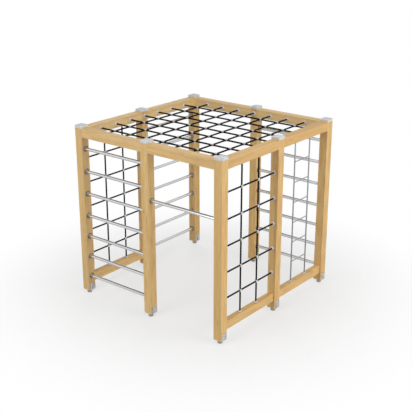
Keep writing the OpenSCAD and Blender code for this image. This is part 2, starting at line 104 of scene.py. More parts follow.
camera_way = Vector((
    math.sin(CAMERA_AZIMUTH) * math.cos(CAMERA_ELEVATION),
    -math.cos(CAMERA_AZIMUTH) * math.cos(CAMERA_ELEVATION),
    math.sin(CAMERA_ELEVATION),
))
camera_data = bpy.data.cameras.new("camera")
camera_data.sensor_width = SENSOR_WIDTH
camera_data.lens = FOCAL_PIXELS * SENSOR_WIDTH / IMAGE_PIXELS
camera_data.clip_end = CAMERA_REACH
camera = bpy.data.objects.new("camera", camera_data)
camera.location = CAMERA_TARGET + camera_way * CAMERA_DISTANCE
camera.rotation_euler = look_along(-camera_way)
bpy.context.scene.collection.objects.link(camera)
bpy.context.scene.camera = camera
bpy.context.scene.view_settings.view_transform = "Standard"


# Node trees

def srgb(red, green, blue):
    """A colour from 0 to 255 as Blender's linear colour."""
    parts = [c / 255 for c in (red, green, blue)]
    return tuple(c / 12.92 if c <= 0.04045 else ((c + 0.055) / 1.055) ** 2.4 for c in parts) + (1.0,)


class Tree:
    """A node tree, with short calls for the nodes that this scene uses."""

    def __init__(self, tree):
        self.tree = tree

    def node(self, kind, inputs=(), **settings):
        """A new node, with values or other nodes' sockets for its inputs."""
        made = self.tree.nodes.new("ShaderNode" + kind)
        for key, value in settings.items():
            setattr(made, key, value)
        for key, value in dict(inputs).items():
            self.feed(made.inputs[key], value)
        return made

    def feed(self, socket, value):
        if isinstance(value, bpy.types.NodeSocket):
            self.tree.links.new(value, socket)
        else:
            socket.default_value = value

    def math(self, operation, *values):
        return self.node("Math", enumerate(values), operation=operation).outputs[0]

    def vector(self, operation, *values):
        made = self.node("VectorMath", enumerate(values), operation=operation)
        return made.outputs["Value" if operation == "LENGTH" else "Vector"]

    def noise(self, place, stretch, detail=2.0, output="Fac"):
        """Noise whose grains are about 1 / stretch metres long each way."""
        scaled = self.vector("MULTIPLY", place, stretch)
        return self.node("TexNoise", {"Vector": scaled, "Scale": 1.0, "Detail": detail}).outputs[output]

    def smooth(self, value, low, high, to_low=0.0, to_high=1.0):
        """A smooth step of a value from one range to another."""
        inputs = {"Value": value, "From Min": low, "From Max": high, "To Min": to_low, "To Max": to_high}
        return self.node("MapRange", inputs, interpolation_type="SMOOTHSTEP").outputs["Result"]

    def mix(self, share, first, second):
        """A colour between two, by the second one's share."""
        return self.node("Mix", {0: share, 6: first, 7: second}, data_type="RGBA").outputs[2]

    def separate(self, vector):
        return self.node("SeparateXYZ", {"Vector": vector}).outputs

    def place(self):
        return self.node("TexCoord").outputs["Object"]

    def rays(self):
        """Whether a ray comes from the camera, and whether it comes off a mirror or through glass."""
        ray = self.node("LightPath").outputs
        return ray["Is Camera Ray"], self.math("MAXIMUM", ray["Is Glossy Ray"], ray["Is Transmission Ray"])


class Surface(Tree):
    """A material with one Principled shader."""

    def __init__(self, name, constants=()):
        self.material = bpy.data.materials.new(name)
        self.material.use_nodes = True
        super().__init__(self.material.node_tree)
        self.shader = self.tree.nodes["Principled BSDF"]
        for key, value in dict(constants).items():
            self.shader.inputs[key].default_value = value

    def finish(self, colour, roughness, height, strength, distance):
        """The material, with its colour, its roughness and a bump of the given strength and depth."""
        self.feed(self.shader.inputs["Base Color"], colour)
        self.feed(self.shader.inputs["Roughness"], roughness)
        bump = self.node("Bump", {"Height": height, "Strength": strength, "Distance": distance})
        self.feed(self.shader.inputs["Normal"], bump.outputs["Normal"])
        return self.material


# Wood

WOOD_PALE, WOOD_MID, WOOD_DEEP = srgb(232, 197, 132), srgb(222, 180, 110), srgb(203, 155, 88)
WOOD_LATE, WOOD_KNOT, WOOD_CHECK = srgb(181, 134, 77), srgb(132, 84, 46), srgb(88, 58, 34)
WOOD_WORN, WOOD_END = srgb(232, 206, 156), srgb(182, 140, 84)
# The last two tones are painted light and painted shade
WOOD_HONEY, WOOD_PAINTED_LIGHT, WOOD_PAINTED_SHADE = srgb(234, 193, 121), srgb(242, 209, 148), srgb(196, 160, 104)
# Growth rings: their width, how far they sway, how far they swell round a knot, and where the pith can lie
RING_WIDTH, RING_SWAY, RING_SWELL = 0.0052, 0.05, 1.6
PITH_NEAR, PITH_FAR = 0.012, 0.055
# Knots: cells in a metre each way, the largest radius, the stretch along the grain, and the share of empty cells
KNOT_CELLS = (8.0, 8.0, 2.1)
KNOT_RADIUS, KNOT_STRETCH, KNOT_EMPTY = 0.011, 0.65, 0.62
# How far a board's place in the texture is drawn
TEXTURE_REACH = 40
# Boards that differ from the rest, with the tone that they lean to and how far. Some of these tones are painted:
# the pale tone of the left and back beams is painted light on their inner faces, and the deep tone of the right
# beams and of the right middle and back right posts is painted shade; the rest are the boards' own tones.
PLAIN_BOARD = (WOOD_MID, 0.0)
BOARD_TONES_AND_PAINTED_LIGHT = {
    "post_front_right": (WOOD_HONEY, 0.5),
    "post_front_left": (WOOD_WORN, 0.2), "post_front_middle": (WOOD_WORN, 0.08),
    "beam_front_left": (WOOD_WORN, 0.3), "beam_front_right": (WOOD_WORN, 0.1),
    "beam_right_front": (WOOD_DEEP, 0.36), "beam_right_back": (WOOD_DEEP, 0.5),
    "post_right_middle": (WOOD_DEEP, 0.15), "post_back_right": (WOOD_DEEP, 0.12),
    "rail_right_front": (WOOD_DEEP, 0.3), "rail_right_back": (WOOD_DEEP, 0.22),
    "beam_left_front": (WOOD_PAINTED_LIGHT, 0.8), "beam_left_back": (WOOD_PAINTED_LIGHT, 0.8),
    "beam_back_left": (WOOD_PAINTED_LIGHT, 0.75), "beam_back_right": (WOOD_PAINTED_LIGHT, 0.75),
}
# A board with painted shade on the side where its first way across the grain ends, and how far it shows
PAINTED_SHADE_SIDES = {"post_front_left": 0.5}
# The two ways across the grain, and the way along it
GRAIN_ORDER = {"X": (1, 2, 0), "Y": (0, 2, 1), "Z": (0, 1, 2)}


def nearest_knot(s, place):
    """The distance to the nearest knot's middle, and the knot's radius, which is zero in most cells."""
    cells = s.node("TexVoronoi", {"Vector": s.vector("MULTIPLY", place, KNOT_CELLS), "Scale": 1.0})
    middle = s.vector("DIVIDE", cells.outputs["Position"], KNOT_CELLS)
    away = s.vector("MULTIPLY", s.vector("SUBTRACT", place, middle), (1.0, 1.0, KNOT_STRETCH))
    chance = s.node("SeparateColor", {"Color": cells.outputs["Color"]}).outputs[0]
    return s.vector("LENGTH", away), s.smooth(chance, KNOT_EMPTY, 1.0, 0.0, KNOT_RADIUS)


def late_wood(s, place, u, v, pith, halo):
    """The dark part of the growth rings, which go round a pith, sway along the board and swell round knots."""
    sway = s.separate(s.noise(place, (2.4, 2.4, 0.9), 2.0, "Color"))
    ring_u = s.math("MULTIPLY_ADD", sway[0], RING_SWAY, s.math("SUBTRACT", u, pith[0]))
    ring_v = s.math("MULTIPLY_ADD", sway[1], RING_SWAY, s.math("SUBTRACT", v, pith[1]))
    out = s.vector("LENGTH", s.node("CombineXYZ", {"X": ring_u, "Y": ring_v}).outputs[0])
    out = s.math("MULTIPLY_ADD", halo, RING_SWELL, out)
    ring = s.math("FRACT", s.math("DIVIDE", out, RING_WIDTH))
    return s.math("MULTIPLY", s.smooth(ring, 0.25, 0.9), s.smooth(ring, 1.0, 0.93))


def drying_checks(s, place):
    """Thin cracks along the grain, in some parts of a board only."""
    crack = s.math("ABSOLUTE", s.math("SUBTRACT", s.noise(place, (26, 26, 0.7), 1.0), 0.5))
    cracked = s.smooth(s.noise(place, (5, 5, 1.7), 1.0), 0.62, 0.7)
    return s.math("MULTIPLY", s.smooth(crack, 0.006, 0.0), cracked)


def worn_edge(s, u, v, half):
    """One along a board's long edges and zero on its faces."""
    near_u = s.math("DIVIDE", s.math("ABSOLUTE", u), half[0])
    near_v = s.math("DIVIDE", s.math("ABSOLUTE", v), half[1])
    return s.smooth(s.math("MINIMUM", near_u, near_v), 0.86, 0.97)


def timber(name, axis, centre, half, seed, tone=PLAIN_BOARD, painted_shade=0.0):
    """Planed timber as a solid texture: growth rings, fibres, figure, knots, drying checks and worn edges, with
    board tones that are partly painted light and shade, and painted shade on one side of some boards.
    """
    s = Surface(name, {"Coat Weight": 0.22, "Coat Roughness": 0.4})
    draw = random.Random(seed)
    local = s.separate(s.vector("SUBTRACT", s.place(), tuple(centre)))
    u, v, w = (local[i] for i in GRAIN_ORDER[axis])
    grain = s.node("CombineXYZ", {"X": u, "Y": v, "Z": w}).outputs[0]
    place = s.vector("ADD", grain, tuple(draw.uniform(-TEXTURE_REACH, TEXTURE_REACH) for _ in range(3)))
    pith = [draw.choice((-1, 1)) * draw.uniform(PITH_NEAR, PITH_FAR) for _ in range(2)]

    away, radius = nearest_knot(s, place)
    knot = s.smooth(s.math("SUBTRACT", radius, away), 0.0, 0.0025)
    halo = s.math("MULTIPLY", s.smooth(away, 0.05, 0.0), radius)
    late = late_wood(s, place, u, v, pith, halo)
    crack = drying_checks(s, place)
    fibre = s.noise(place, (620, 620, 16), 3.0)
    streak = s.noise(place, (34, 34, 1.3), 4.0)
    broad = s.noise(place, (9, 9, 0.8), 2.0)
    figure = s.noise(place, (21, 21, 5), 3.0)

    # Streaks and clouds of the wood, and the board's tone, which is painted light on some boards and painted shade
    # on others
    colour = s.mix(s.smooth(streak, 0.3, 0.7), WOOD_PALE, WOOD_MID)
    colour = s.mix(s.smooth(broad, 0.42, 0.75, 0.0, 0.5), colour, WOOD_DEEP)
    colour = s.mix(s.smooth(figure, 0.5, 0.72, 0.0, 0.6), colour, WOOD_DEEP)
    colour = s.mix(s.smooth(figure, 0.5, 0.28, 0.0, 0.6), colour, WOOD_PALE)
    colour = s.mix(tone[1], colour, tone[0])
    # Painted shade: the board gets darker towards the end of its first way across the grain
    if painted_shade:
        colour = s.mix(s.smooth(s.math("DIVIDE", u, half[0]), 0.5, 1.0, 0.0, painted_shade), colour, WOOD_PAINTED_SHADE)
    # Rings and fibres
    colour = s.mix(s.math("MULTIPLY", late, 0.32), colour, WOOD_LATE)
    colour = s.mix(s.smooth(fibre, 0.52, 0.8, 0.0, 0.35), colour, WOOD_LATE)
    # Worn edges and end grain
    wear = s.math("MULTIPLY", worn_edge(s, u, v, half), s.smooth(streak, 0.35, 0.65, 0.0, 0.14))
    colour = s.mix(wear, colour, WOOD_WORN)
    normal = s.separate(s.node("NewGeometry").outputs["Normal"])["XYZ".index(axis)]
    colour = s.mix(s.smooth(s.math("ABSOLUTE", normal), 0.8, 0.95, 0.0, 0.5), colour, WOOD_END)
    # Knots and checks
    shade = s.math("MULTIPLY", s.smooth(away, 0.03, 0.0), s.math("MULTIPLY", radius, 45.0))
    colour = s.mix(shade, colour, WOOD_LATE)
    colour = s.mix(s.math("MULTIPLY", knot, 0.8), colour, WOOD_KNOT)
    colour = s.mix(s.math("MULTIPLY", crack, 0.75), colour, WOOD_CHECK)

    height = s.math("MULTIPLY_ADD", late, 0.35, s.math("MULTIPLY", fibre, 0.7))
    height = s.math("SUBTRACT", height, s.math("MULTIPLY", crack, 1.6))
    roughness = s.smooth(fibre, 0.25, 0.75, 0.44, 0.62)
    return s.finish(colour, roughness, height, 0.35, 0.0006)


# Plastic, metal and rope

def even(grains):
    """Noise grains in a metre, the same each way."""
    return (grains,) * 3


def drawn_out(axis, along, across):
    """Noise grains in a metre along an axis and across it."""
    return tuple(along if k == axis else across for k in "XYZ")


def moulded_plastic(name, light, dark):
    """Grained plastic with faint clouding and scuffs."""
    s = Surface(name)
    place = s.place()
    cloud = s.noise(place, even(26), 3.0)
    grain = s.noise(place, even(1500), 2.0)
    scuff = s.smooth(s.noise(place, (70, 380, 120), 4.0), 0.6, 0.72)
    colour = s.mix(s.smooth(cloud, 0.3, 0.7), light, dark)
    colour = s.mix(s.math("MULTIPLY", scuff, 0.22), colour, dark)
    roughness = s.math("MULTIPLY_ADD", scuff, 0.16, s.smooth(grain, 0.3, 0.7, 0.4, 0.52))
    return s.finish(colour, roughness, grain, 0.18, 0.0003)


ZINC_DARK, ZINC_LIGHT, ZINC_DULL = srgb(204, 207, 210), srgb(232, 234, 236), srgb(206, 208, 208)
ZINC_RUN, ZINC_PAINTED_SHADE = srgb(150, 152, 155), srgb(138, 132, 126)
ZINC_CRYSTALS, ZINC_WARP = 95.0, 0.006
# Heights between which the painted shade fades out above the ground
PAINTED_SHADE_TOP, PAINTED_SHADE_BOTTOM = 0.055, 0.035


def galvanised(name):
    """Hot-dip zinc: crystals of slightly different grey and gloss, dull run marks, and painted shade near the
    ground.
    """
    s = Surface(name, {"Metallic": 0.9})
    place = s.place()
    warp = s.vector("MULTIPLY", s.noise(place, even(60), 2.0, "Color"), even(ZINC_WARP))
    cells = s.node("TexVoronoi", {"Vector": s.vector("ADD", place, warp), "Scale": ZINC_CRYSTALS})
    tone = s.node("SeparateColor", {"Color": cells.outputs["Color"]}).outputs
    dull = s.smooth(s.noise(place, (40, 40, 9), 4.0), 0.48, 0.7)
    run = s.smooth(s.noise(place, (85, 85, 7), 2.0), 0.4, 0.6)
    colour = s.mix(tone[0], ZINC_DARK, ZINC_LIGHT)
    colour = s.mix(s.math("MULTIPLY", dull, 0.5), colour, ZINC_DULL)
    colour = s.mix(s.math("MULTIPLY", run, 0.7), colour, ZINC_RUN)
    # Painted shade near the ground: the zinc gets darker towards the bottom
    rise = s.math("MULTIPLY_ADD", dull, 0.012, s.separate(place)[2])
    colour = s.mix(s.smooth(rise, PAINTED_SHADE_TOP, PAINTED_SHADE_BOTTOM, 0.0, 0.65), colour, ZINC_PAINTED_SHADE)
    roughness = s.math("MULTIPLY_ADD", dull, 0.2, s.smooth(tone[1], 0.0, 1.0, 0.28, 0.45))
    height = s.noise(place, even(420), 3.0)
    return s.finish(colour, roughness, height, 0.12, 0.0004)


def brushed_steel(name, axis, light, dark, least_rough):
    """Drawn steel with fine lines along one axis, faint bands and handling marks."""
    s = Surface(name, {"Metallic": 1.0})
    place = s.place()
    lines = s.noise(place, drawn_out(axis, 7, 1900), 3.0)
    band = s.noise(place, drawn_out(axis, 0.5, 14), 2.0)
    mark = s.smooth(s.noise(place, even(34), 5.0), 0.58, 0.7)
    both = s.math("MULTIPLY_ADD", lines, 0.5, s.math("MULTIPLY", band, 0.5))
    colour = s.mix(s.smooth(both, 0.3, 0.7), dark, light)
    rough = s.smooth(lines, 0.3, 0.7, least_rough, least_rough + 0.1)
    return s.finish(colour, s.math("MULTIPLY_ADD", mark, 0.1, rough), lines, 0.06, 0.0002)


def cast_metal(name, light, dark, least_rough):
    """Cast or turned metal with a fine grain and darker worn spots."""
    s = Surface(name, {"Metallic": 0.9})
    place = s.place()
    cloud = s.noise(place, even(55), 4.0)
    grain = s.noise(place, even(1300), 2.0)
    spot = s.smooth(s.noise(place, even(190), 3.0), 0.6, 0.74)
    colour = s.mix(s.smooth(cloud, 0.32, 0.68), light, dark)
    colour = s.mix(s.math("MULTIPLY", spot, 0.35), colour, dark)
    rough = s.smooth(grain, 0.3, 0.7, least_rough, least_rough + 0.12)
    return s.finish(colour, s.math("MULTIPLY_ADD", spot, 0.12, rough), grain, 0.14, 0.0003)


YARN_BLACK, YARN_WORN, YARN_DUST = srgb(9, 9, 11), srgb(27, 27, 30), srgb(42, 41, 40)


def rope_yarn(name, axis):
    """Black yarn: fine fibres that lie along the rope, some of them greyed, and a dusty bloom."""
    s = Surface(name, {"Specular IOR Level": 0.1, "Sheen Weight": 0.01, "Sheen Roughness": 0.5})
    place = s.place()
    fibre = s.noise(place, drawn_out(axis, 60, 2600), 3.0)
    dust = s.noise(place, even(14), 4.0)
    colour = s.mix(s.smooth(fibre, 0.35, 0.75), YARN_BLACK, YARN_WORN)
    colour = s.mix(s.smooth(dust, 0.5, 0.8, 0.0, 0.3), colour, YARN_DUST)
    return s.finish(colour, s.smooth(fibre, 0.3, 0.7, 0.62, 0.85), fibre, 0.6, 0.0005)


# Light tone, dark tone and least roughness of the tubes, and of the rods that run each way. The upright rods are
# the same steel as the level ones, with painted shade making them darker.
TUBE_TONES = (srgb(221, 221, 222), srgb(200, 201, 203), 0.07)
ROD_TONES_AND_PAINTED_SHADE = {
    "Y": (srgb(166, 168, 172), srgb(147, 149, 154), 0.26),
    "Z": (srgb(144, 146, 150), srgb(124, 126, 131), 0.26),
}
cap_plastic = moulded_plastic("cap_plastic", srgb(222, 222, 221), srgb(210, 211, 211))
galvanised_steel = galvanised("galvanised_steel")
tube_steel = {k: brushed_steel("tube_steel_" + k, k, *TUBE_TONES) for k in "XY"}
rod_steel = {k: brushed_steel("rod_steel_" + k, k, *tones) for k, tones in ROD_TONES_AND_PAINTED_SHADE.items()}
# The flange plates' brown-grey is partly painted: painted shade, and a painted reflection of the wood round them
flange_steel = cast_metal("flange_steel", srgb(136, 124, 109), srgb(102, 91, 79), 0.32)
collar_steel = cast_metal("collar_steel", srgb(190, 189, 188), srgb(164, 163, 163), 0.24)
base_steel = cast_metal("base_steel", srgb(208, 208, 211), srgb(184, 184, 188), 0.34)
fastener_steel = cast_metal("fastener_steel", srgb(196, 198, 202), srgb(160, 162, 166), 0.24)
connector_grey = moulded_plastic("connector_grey", srgb(218, 216, 212), srgb(202, 200, 197))
anchor_grey = moulded_plastic("anchor_grey", srgb(224, 219, 226), srgb(208, 202, 211))
rope_black = {k: rope_yarn("rope_yarn_" + k, k) for k in "XYZ"}


# Stage

WHITE = (1.0, 1.0, 1.0, 1.0)
FLOOR_SIZE = 60.0
FLOOR_COLOUR = (0.80, 0.80, 0.803, 1.0)
# Distances from the frame's middle between which the floor fades into the white room
FADE_START, FADE_END = 0.8, 3.3
# Share of white in the floor for the camera and for the metal
FLOOR_LIFT, SHINY_LIFT = 0.58, 0.3
DOME_COLOUR, DOME_STRENGTH = (0.98, 0.99, 1.0, 1.0), 0.20
# The dark card and the grey ground that the metal shows: tones, and where they begin and end in a ray's direction
CARD_TONE, GROUND_TONE = 0.06, 0.56
CARD_X, CARD_Y, CARD_Z = (-0.40, -0.55), (-0.36, -0.16), (0.36, 0.50)
GROUND_Z = (-0.38, -0.55)

bpy.ops.mesh.primitive_plane_add(size=FLOOR_SIZE)
floor = bpy.context.object
floor.name = "floor"
ground = Surface("floor", {"Base Color": FLOOR_COLOUR, "Roughness": 0.9, "Specular IOR Level": 0.1})
from_camera, shiny = ground.rays()
white = ground.node("Emission", {"Color": WHITE, "Strength": 1.0}).outputs[0]
lift = ground.math("MULTIPLY_ADD", shiny, SHINY_LIFT, ground.math("MULTIPLY", from_camera, FLOOR_LIFT))
paper = ground.node("MixShader", {0: lift, 1: ground.shader.outputs[0], 2: white}).outputs[0]
flat_place = ground.vector("MULTIPLY", ground.place(), (1.0, 1.0, 0.0))
fade = ground.smooth(ground.vector("LENGTH", flat_place), FADE_START, FADE_END)
clear = ground.node("BsdfTransparent").outputs[0]
blended = ground.node("MixShader", {0: fade, 1: paper, 2: clear}).outputs[0]
ground.feed(ground.tree.nodes["Material Output"].inputs["Surface"], blended)
floor.data.materials.append(ground.material)

# The dome lights the object evenly. The camera and the metal see a white room instead, and the metal sees the card
# and the grey ground in it as well.
world = bpy.data.worlds.new("studio")
world.use_nodes = True
bpy.context.scene.world = world
sky = Tree(world.node_tree)
dome = sky.tree.nodes["Background"]
dome.inputs["Color"].default_value = DOME_COLOUR
dome.inputs["Strength"].default_value = DOME_STRENGTH
way = sky.separate(sky.node("TexCoord").outputs["Generated"])
from_camera, shiny = sky.rays()
card = sky.math("MULTIPLY", sky.smooth(way[0], *CARD_X), sky.smooth(way[1], *CARD_Y))
card = sky.math("MULTIPLY", card, sky.smooth(way[2], *CARD_Z))
below = sky.smooth(way[2], *GROUND_Z, 1.0, GROUND_TONE)
mirrored = sky.math("MULTIPLY", below, sky.smooth(card, 0.0, 1.0, 1.0, CARD_TONE))
room_tone = sky.smooth(shiny, 0.0, 1.0, 1.0, mirrored)
room = sky.node("Background", {"Color": room_tone, "Strength": 1.0}).outputs[0]
looked_at = sky.math("MAXIMUM", from_camera, shiny)
seen = sky.node("MixShader", {0: looked_at, 1: dome.outputs[0], 2: room}).outputs[0]
sky.feed(sky.tree.nodes["World Output"].inputs["Surface"], seen)


def lamp(name, place, aim, power, size):
    """A round lamp that the camera does not see."""
    data = bpy.data.lights.new(name, "AREA")
    data.energy, data.shape, data.size = power, "DISK", size
    made = bpy.data.objects.new(name, data)
    made.location = place
    made.rotation_euler = look_along(Vector(aim) - Vector(place))
    made.visible_camera = False
    bpy.context.scene.collection.objects.link(made)
    return made


lamp("top_light", (0.8, -0.6, 4.9), (0.8, -0.6, 0.0), power=64, size=4.4)
lamp("right_light", (6.6, 0.7, 2.3), (0, 0.3, 1.2), power=262, size=4.6)
lamp("front_light", (-0.5, -5.0, 2.3), (-0.3, 0, 1.2), power=103, size=3.4)
lamp("back_light", (-5.0, 4.6, 3.2), (0, 0, 1.1), power=115, size=3.2).visible_glossy = False


# Mesh building

# Angles in degrees from which an edge looks sharp: in most pieces, in ropes, in caps and in nuts
SHARP, ROPE_SHARP, CAP_SHARP, NUT_SHARP = 38, 75, 50, 25


def skin(rings, ring=False):
    """A closed shape from rings with the same number of points, as (points, faces): capped, or closed as a ring."""
    rings = np.asarray(rings, float)
    count, sides = rings.shape[:2]
    low = np.arange(count if ring else count - 1)[:, None] * sides
    high = (low + sides) % (count * sides)
    here, there = np.arange(sides)[None, :], np.roll(np.arange(sides), -1)[None, :]
    quads = np.stack([low + here, low + there, high + there, high + here], axis=-1).reshape(-1, 4).tolist()
    if not ring:
        quads += [list(range(sides))[::-1], list(range((count - 1) * sides, count * sides))]
    return rings.reshape(-1, 3), quads


def circle(sides):
    """Points of a circle of radius 1."""
    angle = 2 * math.pi * np.arange(sides) / sides
    return np.column_stack([np.cos(angle), np.sin(angle)])


def level_ring(outline, height):
    """An outline's points at one height."""
    return np.column_stack([outline, np.full(len(outline), height)])


def lathe(profile, sides=32, ring=False):
    """A turned shape about +Z from (radius, height) pairs, from bottom to top or all round a ring's section."""
    turn = circle(sides)
    return skin([level_ring(turn * r, z) for r, z in profile], ring)


def arc(centre_r, centre_z, radius, start, end, steps=4):
    """Points of a round edge in a lathe's profile, with angles in degrees from the outward way."""
    angles = np.radians(np.linspace(start, end, steps))
    return [(centre_r + radius * math.cos(a), centre_z + radius * math.sin(a)) for a in angles]


def rounded_square(half, corner, steps=6):
    """A square with round corners, as points anticlockwise."""
    points = []
    for k in range(4):
        middle = np.array([1 if k in (0, 3) else -1, 1 if k < 2 else -1]) * (half - corner)
        for a in np.radians(np.linspace(90 * k, 90 * k + 90, steps)):
            points.append(middle + corner * np.array([math.cos(a), math.sin(a)]))
    return np.array(points)


def placed(shape, point, z_way, x_way=None):
    """A shape moved to a point, with its +Z turned to z_way and its +X to x_way."""
    z = np.array(z_way, float)
    x = np.array(x_way, float) if x_way is not None else np.roll(z, 1)
    turn = np.column_stack([x, np.cross(z, x), z])
    return shape[0] @ turn.T + np.array(point, float), shape[1]


def piece(name, shapes, material, replaced=(), sharp=SHARP):
    """One object from many shapes, that rides on the frame and stands for CAD nodes."""
    points, faces, start = [], [], 0
    for shape_points, shape_faces in shapes:
        points.append(shape_points)
        faces += [[i + start for i in face] for face in shape_faces]
        start += len(shape_points)
    mesh = bpy.data.meshes.new(name)
    mesh.from_pydata(np.concatenate(points).tolist(), [], faces)
    mesh.shade_smooth()
    mesh.set_sharp_from_angle(angle=math.radians(sharp))
    mesh.materials.append(material)
    made = bpy.data.objects.new(name, mesh)
    bpy.context.scene.collection.objects.link(made)
    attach(made, "root")
    if replaced:
        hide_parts(*replaced)


# Ropes

STRANDS, LAY_LENGTH, RING_STEP = 6, 0.105, 0.0052
STRAND_ANGLE = 360 / STRANDS
STRAND_STEPS = [0.0, 15.0, 30.0, 45.0]
GROOVE_SHARE = 0.80
# Turns of the lay in a metre from rope to rope, so that neighbours differ
LAY_SHIFT = 3.7


def strand_profile():
    """A laid rope's outline: round strands with shallow grooves between them."""
    strand, reach = ROPE_RADIUS / 3, ROPE_RADIUS * 2 / 3
    outline = []
    for k in range(STRANDS):
        for step in STRAND_STEPS:
            off = math.radians(step if step <= STRAND_ANGLE / 2 else step - STRAND_ANGLE)
            bulge = math.sqrt(max(strand ** 2 - (reach * math.sin(off)) ** 2, 0.0))
            radius = max(reach * math.cos(off) + bulge, ROPE_RADIUS * GROOVE_SHARE)
            outline.append((math.radians(STRAND_ANGLE * k + step), radius))
    return np.array(outline)


def laid_rope(start, end):
    """A length of rope whose strands wind by its place, so that two lengths in one line follow on."""
    length = np.linalg.norm(end - start)
    way = (end - start) / length
    side = np.roll(way, 1)
    other = np.cross(way, side)
    outline = strand_profile()
    steps = np.linspace(0.0, length, int(length / RING_STEP) + 2)
    turns = (steps + start @ way) / LAY_LENGTH + start @ (side + other) * LAY_SHIFT
    angle = outline[None, :, 0] + 2 * math.pi * turns[:, None]
    radius = outline[None, :, 1]
    rings = (
        start + way * steps[:, None, None]
        + side * (radius * np.cos(angle))[..., None] + other * (radius * np.sin(angle))[..., None]
    )
    return skin(rings)


top_across = [((-INNER_X, y, TOP_NET_HEIGHT), (INNER_X, y, TOP_NET_HEIGHT)) for y in TOP_Y]
top_along = [((x, -INNER_Y, TOP_NET_HEIGHT), (x, INNER_Y, TOP_NET_HEIGHT)) for x in TOP_X]


def side_cross(side):
    """The level ropes of the net on one side, from post to post."""
    return [((side * HALF_WIDTH, -INNER_Y, z), (side * HALF_WIDTH, -POST_FACE, z)) for z in SIDE_HEIGHTS]


def side_upright(side):
    """The upright ropes of the net on one side, from rail to beam."""
    return [((side * HALF_WIDTH, -y, RAIL_TOP), (side * HALF_WIDTH, -y, BEAM_BOTTOM)) for y in SIDE_THIRDS]


def lengths(spans, axis, crossings=()):
    """The ropes between their seats, cut at the places along the axis where they meet a rope that runs through."""
    found = []
    cuts = [c + k * ROPE_CUT for c in crossings for k in (-1, 1)]
    for a, b in np.array(spans, float):
        stops = [a[axis] + ROPE_INSET] + cuts + [b[axis] - ROPE_INSET]
        for start, end in zip(stops[::2], stops[1::2]):
            first, last = a.copy(), b.copy()
            first[axis], last[axis] = start, end
            found.append((first, last))
    return found


rope_sets = {
    "top_ropes_across": (lengths(top_across, 0), "X"),
    "top_ropes_along": (lengths(top_along, 1, TOP_Y), "Y"),
    "right_cross_ropes": (lengths(side_cross(1), 1), "Y"),
    "right_upright_ropes": (lengths(side_upright(1), 2, SIDE_HEIGHTS), "Z"),
    "left_cross_ropes": (lengths(side_cross(-1), 1), "Y"),
    "left_upright_ropes": (lengths(side_upright(-1), 2, SIDE_HEIGHTS), "Z"),
}
for name, (runs, axis) in rope_sets.items():
    shapes = [laid_rope(a, b) for a, b in runs]
    piece("laid_" + name, shapes, rope_black[axis], [name], sharp=ROPE_SHARP)


# Rope fittings

def seats(spans):
    """Each end of each span, with the way it faces."""
    found = []
    for a, b in spans:
        way = np.array(b, float) - np.array(a, float)
        way /= np.linalg.norm(way)
        found += [(a, way), (b, -way)]
    return found


def anchor_shape():
    """A turned rope socket with rounded edges, a dished flange, a lip round the rope and a stud."""
    r, rim, neck, top = ANCHOR_RADIUS, ANCHOR_RIM, ANCHOR_NECK, ANCHOR_LENGTH
    bore = ROPE_RADIUS + FIT_GAP
    tip, foot, rim_round, neck_round, mouth_round = 0.001, 0.0008, 0.0015, 0.0012, 0.0010
    dish = [(0.007, 0.0049), (0.003, 0.0061), (0.001, 0.0074), (0.0, 0.0090)]
    return lathe(
        [(tip, -STUD_LENGTH), (STUD_RADIUS - tip, -STUD_LENGTH), (STUD_RADIUS, -STUD_LENGTH + 2 * tip)]
        + [(STUD_RADIUS, 0.0), (r - foot, 0.0), (r, foot)]
        + arc(r - rim_round, rim - rim_round, rim_round, 0, 75)
        + [(neck + out, z) for out, z in dish]
        + arc(neck - neck_round, top - neck_round, neck_round, 0, 90)
        + arc(bore + mouth_round, top - mouth_round, mouth_round, 100, 180)
        + [(bore, ANCHOR_FLOOR), (tip, ANCHOR_FLOOR)],
        36,
    )


anchor = anchor_shape()
anchor_sets = {
    "top_anchors": seats(top_across + top_along),
    "right_anchors": seats(side_cross(1) + side_upright(1)),
    "left_anchors": seats(side_cross(-1) + side_upright(-1)),
}
for name, found in anchor_sets.items():
    shapes = [placed(anchor, p, way) for p, way in found]
    piece("turned_" + name, shapes, anchor_grey, [name])


def clamp_shapes():
    """A cross clamp in two domed shells with a seam, a rivet on each side and a lip round each rope."""
    half, dome, seam, rivet = CONNECTOR_DEPTH / 2, 0.0048, 0.0002, 0.0050
    levels = [(seam, 0.0010), (seam, 0.0003), (0.0008, 0.0), (half - dome, 0.0)]
    for a in np.radians([20, 40, 60, 80]):
        levels.append((half - dome * (1 - math.sin(a)), dome * (1 - math.cos(a))))
    levels += [(half - 0.0001, 0.0072), (half - 0.0003, 0.0088)]
    shell = []
    for z, inset in levels:
        shell.append(level_ring(rounded_square(CONNECTOR_HALF - inset, CONNECTOR_ROUND - 0.2 * inset, 5), z))
    head = [(rivet, half - 0.0012), (rivet, half - 0.0006)] + arc(0.0036, half - 0.0014, 0.0014, 20, 80, 3)
    head = lathe(head + [(0.0004, half)], 20)
    shapes = []
    for side in (-1, 1):
        shapes += [placed(shape, (0, 0, 0), (0, 0, side), X) for shape in (skin(shell), head)]
    rim, rim_round, low, high = ROPE_RADIUS + 0.0018, 0.0008, -0.0006, 0.0003
    lip = [(ROPE_RADIUS, low), (rim, low), (rim, high)] + arc(rim - rim_round, high, rim_round, 20, 90, 3)
    lip = lathe(lip + [(ROPE_RADIUS, high + rim_round)], 24, ring=True)
    for way in (X, Y):
        for side in (-1, 1):
            out = np.array(way, float) * side
            shapes.append(placed(lip, out * CONNECTOR_HALF, out))
    return shapes


clamp = clamp_shapes()


def clamps(crossings):
    """A clamp at each crossing: its point, the way out of the net and the way of the rope that runs through."""
    return [placed(shape, p, out, through) for p, out, through in crossings for shape in clamp]


